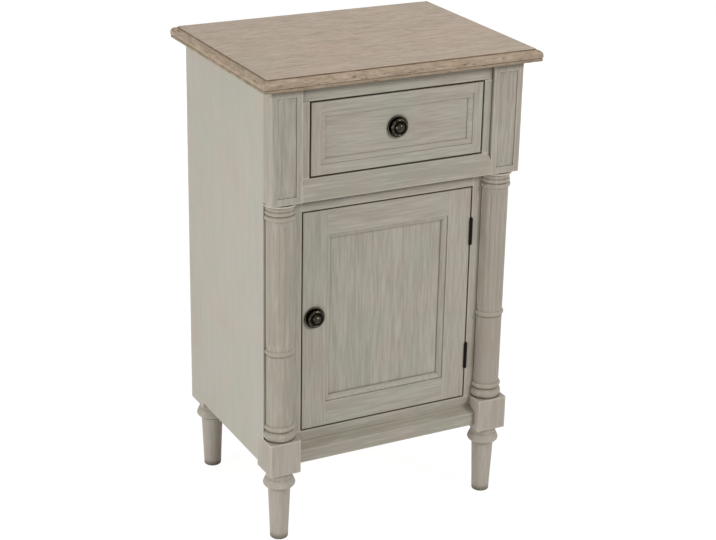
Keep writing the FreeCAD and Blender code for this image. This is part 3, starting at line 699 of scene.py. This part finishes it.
@dataclass(frozen=True)
class BareWood(Finish):
    """Sanded, unpainted softwood and plywood of the inside."""

    grain: Grain
    base: Colour = tint(207, 184, 148)
    warm: Colour = tint(211, 184, 145)
    cool: Colour = tint(203, 183, 150)
    late_wood: Colour = tint(176, 144, 102)
    stretch: float = 0.04
    ring_scale: float = 45.0
    fibre_scale: float = 300.0
    pore_scale: float = 700.0
    ring_share: float = 0.6
    pore_share: float = 0.5
    # painted shade in corners
    recess_share: float = 0.4
    dullness: Pair = (0.75, 0.6)
    specular: float = 0.3
    relief: Pair = (0.0003, 0.3)

    def make(self, effects: Effects) -> Material:
        """Builds the material.

        Args:
            effects: the shared node groups.

        Returns:
            The bare finish for boards of this grain.
        """
        bench, shader, material = open_material("bare_" + self.grain.name.lower())
        along = bench.place(effects.board_vector, {"Stretch": self.grain.stretch(self.stretch)})["Vector"]
        even = bench.place(effects.board_vector, {})["Vector"]
        figure = bench.place(effects.wood_figure, {
            "Vector": along, "Ring": self.ring_scale, "Fibre": self.fibre_scale, "Pore": self.pore_scale})
        drift = bench.place(effects.colour_drift, {
            "Vector": even, "Base": self.base, "Warm": self.warm, "Cool": self.cool})
        masks = bench.place(effects.recess_and_edge, {"Break": figure["Rings"]})
        wood = drift["Colour"]
        # The recess pair darkens corners towards late_wood as painted shade
        for mask, share in ((figure["Rings"], self.ring_share), (figure["Pores"], self.pore_share),
                            (masks["Recess"], self.recess_share)):
            wood = bench.blend(mask, wood, self.late_wood, strength=share)
        dull = bench.between(figure["Fibres"], self.dullness)
        self._fill(bench, shader, wood, dull, figure["Height"])
        return material


@dataclass(frozen=True)
class MottledSurface(Finish):
    """Metal or plastic with a dark mottle that is rubbed off along its edges.

    The dullness is a factor on the roughness. The dark returns in corners by the recess share.
    The light edges are rubbed metal, and on the bronze they are partly a painted highlight.
    """

    name: str
    bright: Colour
    dark: Colour
    roughness: float
    metallic: float
    rub: float
    edge: float
    recess_share: float = 1.0
    scale: float = 260.0
    recess_reach: float = 0.008
    edge_reach: float = 0.001
    dullness: Pair = (0.8, 1.25)
    specular: float = 0.2
    relief: Pair = (0.0002, 0.2)

    def make(self, effects: Effects) -> Material:
        """Builds the material.

        Args:
            effects: the shared node groups.

        Returns:
            The mottled finish.
        """
        bench, shader, material = open_material(self.name)
        place = bench.place(effects.board_vector, {})["Vector"]
        patina = bench.place(effects.patina, {"Vector": place, "Scale": self.scale})
        masks = bench.place(effects.recess_and_edge, {
            "Recess Reach": self.recess_reach, "Edge Reach": self.edge_reach, "Break": patina["Tarnish"]})
        colour = bench.blend(patina["Tarnish"], self.dark, self.bright, strength=self.rub)
        # Edges lighter: rubbed metal, and on the bronze partly a painted highlight
        colour = bench.blend(masks["Edge"], colour, self.bright, strength=self.edge)
        colour = bench.blend(masks["Recess"], colour, self.dark, strength=self.recess_share)
        least, most = (self.roughness * factor for factor in self.dullness)
        dull = bench.between(patina["Dullness"], (least, most))
        self._fill(bench, shader, colour, dull, patina["Height"])
        shader.inputs["Metallic"].default_value = self.metallic
        return material


class Finishes:
    """Every finish of the nightstand, built once."""

    def __init__(self) -> None:
        """Builds the shared effects and the finishes."""
        self._effects = effects = Effects()
        self._paints: dict[tuple[Grain, Wear], Material] = {}
        self.bare = {grain: BareWood(grain).make(effects) for grain in Grain}
        self.oak = WashedOak(*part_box("top_slab")).make(effects)
        # The bronze's bright edges are partly rubbed metal and partly a painted highlight
        self.bronze = MottledSurface(
            "aged_bronze", bright=tint(226, 214, 190), dark=tint(22, 17, 9),
            roughness=0.2, metallic=0.9, rub=0.10, edge=0.6).make(effects)
        self.black = MottledSurface(
            "blackened_metal", bright=tint(28, 23, 15), dark=tint(12, 9, 5),
            roughness=0.6, metallic=0.4, rub=0.3, edge=0.5).make(effects)
        self.zinc = MottledSurface(
            "zinc_steel", bright=tint(178, 178, 174), dark=tint(120, 120, 116),
            roughness=0.36, metallic=1.0, rub=0.6, edge=1.0).make(effects)
        self.plastic = MottledSurface(
            "moulded_plastic", bright=tint(112, 88, 66), dark=tint(92, 70, 50),
            roughness=1.0, metallic=0.0, rub=0.4, edge=1.0, recess_share=0.0, scale=700.0,
            edge_reach=0.002, dullness=(0.42, 0.6), specular=0.5, relief=(0.0002, 0.25)).make(effects)

    def paint(self, grain: Grain, wear: Wear) -> Material:
        """Gives a painted finish, which is built when it is first asked for.

        Args:
            grain: which way the brush ran.
            wear: the kind of brush work and of painted shade.

        Returns:
            The painted finish.
        """
        if (grain, wear) not in self._paints:
            self._paints[grain, wear] = BrushedPaint(grain, wear).make(self._effects)
        return self._paints[grain, wear]


def dress(names: Sequence[str], material: Material) -> None:
    """Gives solids their finish.

    Args:
        names: nodes of the frame.
        material: the finish.
    """
    for name in names:
        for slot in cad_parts[name].material_slots:
            slot.material = material
        log.info("%s wears %s", name, material.name)


@dataclass(frozen=True)
class HeadForm:
    """Outline of a head as shares of its radius and height, and its recess as a share of its radius.

    The point starts so many radii of the shank before the tip.
    """

    outline: tuple[Pair, ...]
    recess: float
    point: float


class Head(Enum):
    """Heads of screws and nails."""

    PAN = HeadForm(((0.6, 1.0), (0.88, 0.72), (1.0, 0.3), (1.0, 0.0)), recess=0.5, point=1.0)
    SUNK = HeadForm(((1.0, 0.0),), recess=0.55, point=1.0)
    NAIL = HeadForm(((0.3, 1.0), (0.75, 0.8), (1.0, 0.25), (1.0, 0.0)), recess=0.0, point=2.0)


@dataclass(frozen=True)
class Fastener:
    """Small turned fastener that points up the Z axis: a screw with a cross recess, or a plain nail.

    Shank and head are radii. The head rises under the zero level, or sinks above it in a cone.
    """

    kind: Head
    shank: float
    length: float
    head: float
    rise: float = 0.0
    sink: float = 0.0
    steps: int = 20
    arm_share: float = 0.3
    taper_share: float = 0.5
    tip_share: float = 0.2
    crease: float = math.radians(35.0)

    def shape(self) -> bmesh.types.BMesh:
        """Builds the closed form.

        Returns:
            The form, pointing up from the origin.
        """
        head = self.kind.value
        outline = [(self.head * wide, -self.rise * tall) for wide, tall in head.outline]
        outline += [(self.shank, self.sink), (self.shank, self.length - self.shank * head.point),
                    (self.shank * self.tip_share, self.length)]
        form = bmesh.new()
        turns = [2 * math.pi * step / self.steps for step in range(self.steps)]
        rings = [[form.verts.new((radius * math.cos(turn), radius * math.sin(turn), level)) for turn in turns]
                 for radius, level in outline]
        for first, second in zip(rings, rings[1:]):
            self._wall(form, first, second)
        form.faces.new(rings[-1])
        if head.recess:
            self._cross(form, rings[0], self.head * head.recess)
        else:
            form.faces.new(rings[0])
        bmesh.ops.recalc_face_normals(form, faces=form.faces)
        return form

    @staticmethod
    def _wall(form: bmesh.types.BMesh, first: Sequence[Corner], second: Sequence[Corner]) -> None:
        """Joins two loops of the same count by faces.

        Args:
            form: the form being built.
            first: one loop.
            second: the other loop.
        """
        for index, corner in enumerate(first):
            after = (index + 1) % len(first)
            form.faces.new((corner, first[after], second[after], second[index]))

    def _cross(self, form: bmesh.types.BMesh, rim: Sequence[Corner], arm: float) -> None:
        """Sinks a tapered cross into the head.

        Args:
            form: the form being built.
            rim: the loop around the head's flat.
            arm: reach and depth of the cross.
        """
        level = rim[0].co.z
        half = arm * self.arm_share
        quarter = ((arm, -half), (arm, half), (half, half))
        corners = [turn for x, y in ((1, 0), (0, 1), (-1, 0), (0, -1))
                   for turn in [(a * x - b * y, a * y + b * x) for a, b in quarter]]
        mouth = [form.verts.new((x, y, level)) for x, y in corners]
        taper = self.taper_share
        depth = [form.verts.new((x * taper, y * taper, level + arm)) for x, y in corners]
        self._wall(form, mouth, depth)
        form.faces.new(depth)
        edges = [form.edges.get((loop[index - 1], vertex)) for loop in (rim, mouth)
                 for index, vertex in enumerate(loop)]
        bmesh.ops.triangle_fill(form, use_beauty=True, edges=edges)

    def set_out(self, name: str, spots: Sequence["Spot"]) -> bpy.types.Object:
        """Makes one piece of a fastener at every spot.

        Args:
            name: the piece's name.
            spots: where the fasteners sit.

        Returns:
            The piece, in place.
        """
        whole = bmesh.new()
        single = bpy.data.meshes.new(name + "_single")
        form = self.shape()
        form.to_mesh(single)
        form.free()
        for index, spot in enumerate(spots):
            known = len(whole.verts)
            whole.from_mesh(single)
            whole.verts.ensure_lookup_table()
            bmesh.ops.transform(whole, matrix=spot.matrix(index), verts=whole.verts[known:])
        bpy.data.meshes.remove(single)
        mesh = bpy.data.meshes.new(name)
        whole.to_mesh(mesh)
        whole.free()
        mesh.shade_smooth()
        mesh.set_sharp_from_angle(angle=self.crease)
        piece = bpy.data.objects.new(name, mesh)
        bpy.context.scene.collection.objects.link(piece)
        return piece


@dataclass(frozen=True)
class Spot:
    """Where a fastener's zero level sits, which way its tip points, and the turn from one to the next."""

    place: Triple
    direction: Triple
    turn: float = 2.4

    def matrix(self, index: int) -> Matrix:
        """Gives the place as a transform, with each recess turned a little differently.

        Args:
            index: number of the fastener in its row.

        Returns:
            The transform from the origin.
        """
        lean = Vector((0.0, 0.0, 1.0)).rotation_difference(Vector(self.direction)).to_matrix().to_4x4()
        return Matrix.Translation(self.place) @ lean @ Matrix.Rotation(index * self.turn, 4, "Z")


def fit_out(piece: bpy.types.Object, material: Material, body: str,
            replaced: Sequence[str] = ()) -> None:
    """Dresses a new piece and ties it to what carries it.

    Args:
        piece: the new piece.
        material: its finish.
        body: the body that it rides on.
        replaced: nodes that it stands for.
    """
    piece.data.materials.append(material)
    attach(piece, body)
    if replaced:
        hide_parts(*replaced)
    log.info("%s wears %s", piece.name, material.name)


@dataclass
class Hardware:
    """Screws and nails, each at the place of its solid or on the board that it holds."""

    finishes: Finishes
    hinge_screw_shank: float = 0.0013
    hinge_screw_head: float = 0.0026
    hinge_screw_sink: float = 0.0013
    hinge_screw_spacing: float = 0.024
    knob_screw_shank: float = 0.002
    knob_screw_head: float = 0.004
    top_screw_shank: float = 0.0021
    top_screw_head: float = 0.0042
    pan_rise: float = 0.0024
    nail_shank: float = 0.0008
    nail_length: float = 0.012
    nail_head: float = 0.0022
    nail_rise: float = 0.0006
    nail_margin: float = 0.006
    nails_across: int = 4
    nails_up: int = 6
    pin_head: float = 0.0015
    pin_rise: float = 0.0003
    pin_levels: tuple[float, ...] = (0.35, 0.6, 0.85)

    def build(self) -> None:
        """Builds and dresses every fastener that shows."""
        self._hinge_screws("hinge_frame_screws", 1, "carcass")
        self._hinge_screws("hinge_door_screws", -1, "door")
        self._knob_screw("drawer_knob_screw", "drawer")
        self._knob_screw("door_knob_screw", "door")
        self._top_screws()
        self._back_nails()
        self._drawer_pins()

    def _hinge_screws(self, node: str, side: int, body: str) -> None:
        """Four countersunk screws of the hinge leaves on one side.

        Args:
            node: the solids that they stand for.
            side: 1 where they point to the right, and -1 where they point to the left.
            body: what carries them.
        """
        low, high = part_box(node)
        screw = Fastener(Head.SUNK, self.hinge_screw_shank, high.x - low.x, self.hinge_screw_head,
                         sink=self.hinge_screw_sink)
        near = low.x if side > 0 else high.x
        lowest, highest = low.z + self.hinge_screw_head, high.z - self.hinge_screw_head
        levels = (lowest, lowest + self.hinge_screw_spacing, highest - self.hinge_screw_spacing, highest)
        middle = (low.y + high.y) / 2
        spots = [Spot((near, middle, level), (side, 0.0, 0.0)) for level in levels]
        fit_out(screw.set_out(node + "_cross_head", spots), self.finishes.black, body, (node,))

    def _knob_screw(self, node: str, body: str) -> None:
        """Screw through a front into its knob.

        Args:
            node: the solid that it stands for.
            body: what carries it.
        """
        low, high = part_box(node)
        rear = high.y - self.pan_rise
        screw = Fastener(Head.PAN, self.knob_screw_shank, rear - low.y, self.knob_screw_head, self.pan_rise)
        spot = Spot(((low.x + high.x) / 2, rear, (low.z + high.z) / 2), (0.0, -1.0, 0.0))
        fit_out(screw.set_out(node + "_cross_head", [spot]), self.finishes.zinc, body, (node,))

    def _top_screws(self) -> None:
        """Four screws up into the top."""
        node = "top_fixing_screws"
        low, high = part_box(node)
        seat = low.z + self.pan_rise
        screw = Fastener(Head.PAN, self.top_screw_shank, high.z - seat, self.top_screw_head, self.pan_rise)
        head = self.top_screw_head
        spots = [Spot((x, y, seat), (0.0, 0.0, 1.0))
                 for x in (low.x + head, high.x - head) for y in (low.y + head, high.y - head)]
        piece = screw.set_out(node + "_cross_head", spots)
        fit_out(piece, self.finishes.zinc, "carcass", (node,))

    def _back_nails(self) -> None:
        """Nails round the back panel."""
        low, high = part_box("back_panel")
        nail = Fastener(Head.NAIL, self.nail_shank, self.nail_length, self.nail_head, self.nail_rise)
        left, right = low.x + self.nail_margin, high.x - self.nail_margin
        bottom, top = low.z + self.nail_margin, high.z - self.nail_margin
        places = [(x, bottom + (top - bottom) * step / (self.nails_up - 1))
                  for x in (left, right) for step in range(self.nails_up)]
        places += [(left + (right - left) * step / (self.nails_across + 1), level)
                   for level in (bottom, top) for step in range(1, self.nails_across + 1)]
        spots = [Spot((x, high.y, level), (0.0, -1.0, 0.0)) for x, level in places]
        fit_out(nail.set_out("back_panel_nails", spots), self.finishes.zinc, "carcass")

    def _drawer_pins(self) -> None:
        """Small nails through the drawer sides into its inner front and its back."""
        pin = Fastener(Head.NAIL, self.nail_shank, self.nail_length, self.pin_head, self.pin_rise)
        spots = []
        for node, end, inward in (("drawer_left_side", 0, 1.0), ("drawer_right_side", 1, -1.0)):
            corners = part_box(node)
            low, high = corners
            for share in self.pin_levels:
                level = low.z + (high.z - low.z) * share
                spots += [Spot((corners[end].x, y, level), (inward, 0.0, 0.0))
                          for y in (low.y + self.nail_margin, high.y - self.nail_margin)]
        fit_out(pin.set_out("drawer_side_nails", spots), self.finishes.zinc, "drawer")


@dataclass
class Carcass:
    """The standing case: top, sides, blocks, columns, rails, feet and what it holds inside."""

    finishes: Finishes
    calm: Names = ("left_side_panel", "right_side_panel", "left_rear_block", "right_rear_block")
    plinths: Names = ("left_plinth_block", "right_plinth_block")
    blocks: Names = ("left_frieze_block", "right_frieze_block")
    stiles: Names = (
        "left_surround_stile", "right_surround_stile", "left_frame_stile", "right_frame_stile")
    columns: Names = ("left_column", "right_column")
    feet: Names = ("front_left_foot", "front_right_foot", "rear_left_foot", "rear_right_foot")
    crosswise: Names = ("frieze_rail", "frame_bottom_rail", "base_moulding")
    sheltered: Names = ("surround_top_rail",)
    undercut: Names = ("frame_top_rail",)
    bare_upright: Names = ("back_panel",)
    bare_crosswise: Names = ("cupboard_floor", "dust_panel", "drawer_stops")
    bare_deep: Names = ("drawer_guides", "top_cleats")
    blackened: Names = ("hinge_frame_leaves", "hinge_pins")
    zinc: Names = ("foot_hanger_bolts",)

    def dress(self) -> None:
        """Puts the finishes on the case."""
        dress(("top_slab",), self.finishes.oak)
        for names, wear in ((self.calm, Wear.CALM), (self.plinths, Wear.PLINTH), (self.blocks, Wear.BLOCK),
                            (self.stiles, Wear.STILE), (self.columns, Wear.TURNED), (self.feet, Wear.FOOT)):
            dress(names, self.finishes.paint(Grain.UPRIGHT, wear))
        for names, wear in ((self.crosswise, Wear.BRUSHED), (self.sheltered, Wear.SHELTERED),
                            (self.undercut, Wear.UNDERCUT)):
            dress(names, self.finishes.paint(Grain.CROSSWISE, wear))
        for names, grain in ((self.bare_upright, Grain.UPRIGHT), (self.bare_crosswise, Grain.CROSSWISE),
                             (self.bare_deep, Grain.DEEP)):
            dress(names, self.finishes.bare[grain])
        dress(self.blackened, self.finishes.black)
        dress(self.zinc, self.finishes.zinc)
        dress(("catch_body",), self.finishes.plastic)


@dataclass
class Drawer:
    """The drawer: a framed front on a bare wooden box."""

    finishes: Finishes
    upright: Names = ("drawer_left_stile", "drawer_right_stile")
    crosswise: Names = ("drawer_top_rail", "drawer_bottom_rail", "drawer_panel", "drawer_moulding")
    bare_crosswise: Names = ("drawer_inner_front", "drawer_back", "drawer_bottom")
    bare_deep: Names = ("drawer_left_side", "drawer_right_side")

    def dress(self) -> None:
        """Puts the finishes on the drawer."""
        dress(self.upright, self.finishes.paint(Grain.UPRIGHT, Wear.FRAMED))
        dress(self.crosswise, self.finishes.paint(Grain.CROSSWISE, Wear.FRAMED))
        dress(self.bare_crosswise, self.finishes.bare[Grain.CROSSWISE])
        dress(self.bare_deep, self.finishes.bare[Grain.DEEP])
        dress(("drawer_knob",), self.finishes.bronze)


@dataclass
class Door:
    """The door: a framed panel on two butt hinges."""

    finishes: Finishes
    upright: Names = ("door_left_stile", "door_right_stile", "door_panel", "door_moulding")
    crosswise: Names = ("door_top_rail", "door_bottom_rail")
    blackened: Names = ("hinge_door_leaves",)
    zinc: Names = ("catch_strike_plate",)

    def dress(self) -> None:
        """Puts the finishes on the door."""
        dress(self.upright, self.finishes.paint(Grain.UPRIGHT, Wear.FRAMED))
        dress(self.crosswise, self.finishes.paint(Grain.CROSSWISE, Wear.FRAMED))
        dress(("door_knob",), self.finishes.bronze)
        dress(self.blackened, self.finishes.black)
        dress(self.zinc, self.finishes.zinc)


@dataclass(frozen=True)
class Lamp:
    """One soft lamp that looks at the middle of the nightstand."""

    name: str
    place: Triple
    size: float
    power: float

    def make(self, aim: Vector) -> None:
        """Hangs the lamp.

        Args:
            aim: the point that it looks at.
        """
        light = bpy.data.lights.new(self.name, "AREA")
        light.shape = "DISK"
        light.size = self.size
        light.energy = self.power
        holder = bpy.data.objects.new(self.name, light)
        holder.location = self.place
        holder.rotation_mode = "QUATERNION"
        holder.rotation_quaternion = (aim - Vector(self.place)).to_track_quat("-Z", "Y")
        bpy.context.scene.collection.objects.link(holder)


@dataclass
class Studio:
    """White floor and sky, and four soft lamps."""

    fill: float = 0.28
    floor_reach: float = 14.0
    floor_colour: Colour = tint(238, 238, 238)
    floor_roughness: float = 0.9
    floor_glow: float = 0.84
    floor_glow_level: float = 1.13
    lamps: tuple[Lamp, ...] = (
        Lamp("key_lamp", (2.05, -3.85, 2.7), 1.2, 110.0),
        Lamp("side_lamp", (-2.7, -0.4, 0.6), 1.4, 39.5),
        Lamp("top_lamp", (0.2, -0.1, 2.9), 1.6, 20.0),
        Lamp("back_lamp", (1.2, 2.5, 0.33), 0.6, 26.0),
    )

    def build(self) -> None:
        """Sets up the sky, the floor and the lamps."""
        self._sky()
        self._floor()
        aim = (cad_low + cad_high) / 2
        for lamp in self.lamps:
            lamp.make(aim)
            log.info("lamp %s hung", lamp.name)

    @staticmethod
    def _seen_share(bench: NodeBench) -> Socket:
        """One for what the camera, a mirror or glass sees, and zero for what only lights.

        Args:
            bench: bench of the material or sky.

        Returns:
            That share.
        """
        path = bench.add("ShaderNodeLightPath").outputs
        mirrored = bench.math("MAXIMUM", path["Is Glossy Ray"], path["Is Transmission Ray"])
        return bench.math("MAXIMUM", path["Is Camera Ray"], mirrored)

    def _sky(self) -> None:
        """White sky that lights the scene softly."""
        world = bpy.data.worlds.new("studio_sky")
        world.use_nodes = True
        bench = NodeBench(world.node_tree)
        bench.tree.nodes.clear()
        sky = bench.add("ShaderNodeBackground")
        sky.inputs["Color"].default_value = WHITE
        seen = self._seen_share(bench)
        bench.feed(sky.inputs["Strength"], bench.between(seen, (self.fill, 1.0)))
        bench.feed(bench.add("ShaderNodeOutputWorld").inputs["Surface"], sky.outputs[0])
        bpy.context.scene.world = world

    def _floor(self) -> None:
        """Pale floor that shows white and keeps the shadow."""
        reach = self.floor_reach
        mesh = bpy.data.meshes.new("studio_floor")
        corners = [(-reach, -reach, 0), (reach, -reach, 0), (reach, reach, 0), (-reach, reach, 0)]
        mesh.from_pydata(corners, [], [(0, 1, 2, 3)])
        floor = bpy.data.objects.new("studio_floor", mesh)
        bpy.context.scene.collection.objects.link(floor)
        bench, shader, material = open_material("floor_paper")
        shader.inputs["Base Color"].default_value = self.floor_colour
        shader.inputs["Roughness"].default_value = self.floor_roughness
        shader.inputs["Specular IOR Level"].default_value = 0.0
        glow = bench.add("ShaderNodeEmission")
        glow.inputs["Color"].default_value = WHITE
        glow.inputs["Strength"].default_value = self.floor_glow_level
        mixed = bench.add("ShaderNodeMixShader")
        share = bench.math("MULTIPLY", self._seen_share(bench), self.floor_glow)
        bench.feed(mixed.inputs[0], share)
        bench.feed(mixed.inputs[1], shader.outputs["BSDF"])
        bench.feed(mixed.inputs[2], glow.outputs["Emission"])
        output = next(node for node in bench.tree.nodes if node.type == "OUTPUT_MATERIAL")
        bench.feed(output.inputs["Surface"], mixed.outputs[0])
        mesh.materials.append(material)


@dataclass
class PhotoCamera:
    """Camera at the photograph's viewpoint, with its focal length in pixels of the photograph."""

    place: Triple = (-1.108209, -2.154469, 1.312413)
    yaw: float = 27.515
    pitch: float = 21.7546
    roll: float = 1.1371
    focal_pixels: float = 1753.72
    frame_width_pixels: float = 716.0

    def build(self) -> None:
        """Makes the camera the scene's own."""
        data = bpy.data.cameras.new("photo_camera")
        data.lens = self.focal_pixels * data.sensor_width / self.frame_width_pixels
        camera = bpy.data.objects.new("photo_camera", data)
        turn = (Matrix.Rotation(-math.radians(self.yaw), 4, "Z")
                @ Matrix.Rotation(math.radians(90.0 - self.pitch), 4, "X")
                @ Matrix.Rotation(math.radians(self.roll), 4, "Z"))
        camera.matrix_world = Matrix.Translation(self.place) @ turn
        bpy.context.scene.collection.objects.link(camera)
        bpy.context.scene.camera = camera
        log.info("camera set up")


def main() -> None:
    """Dresses the nightstand and sets up the studio around it."""
    logging.basicConfig(level=logging.INFO, format="%(message)s")
    bpy.context.scene.view_settings.view_transform = "Standard"
    PhotoCamera().build()
    finishes = Finishes()
    Carcass(finishes).dress()
    Drawer(finishes).dress()
    Door(finishes).dress()
    Hardware(finishes).build()
    Studio().build()


if __name__ == "__main__":
    main()
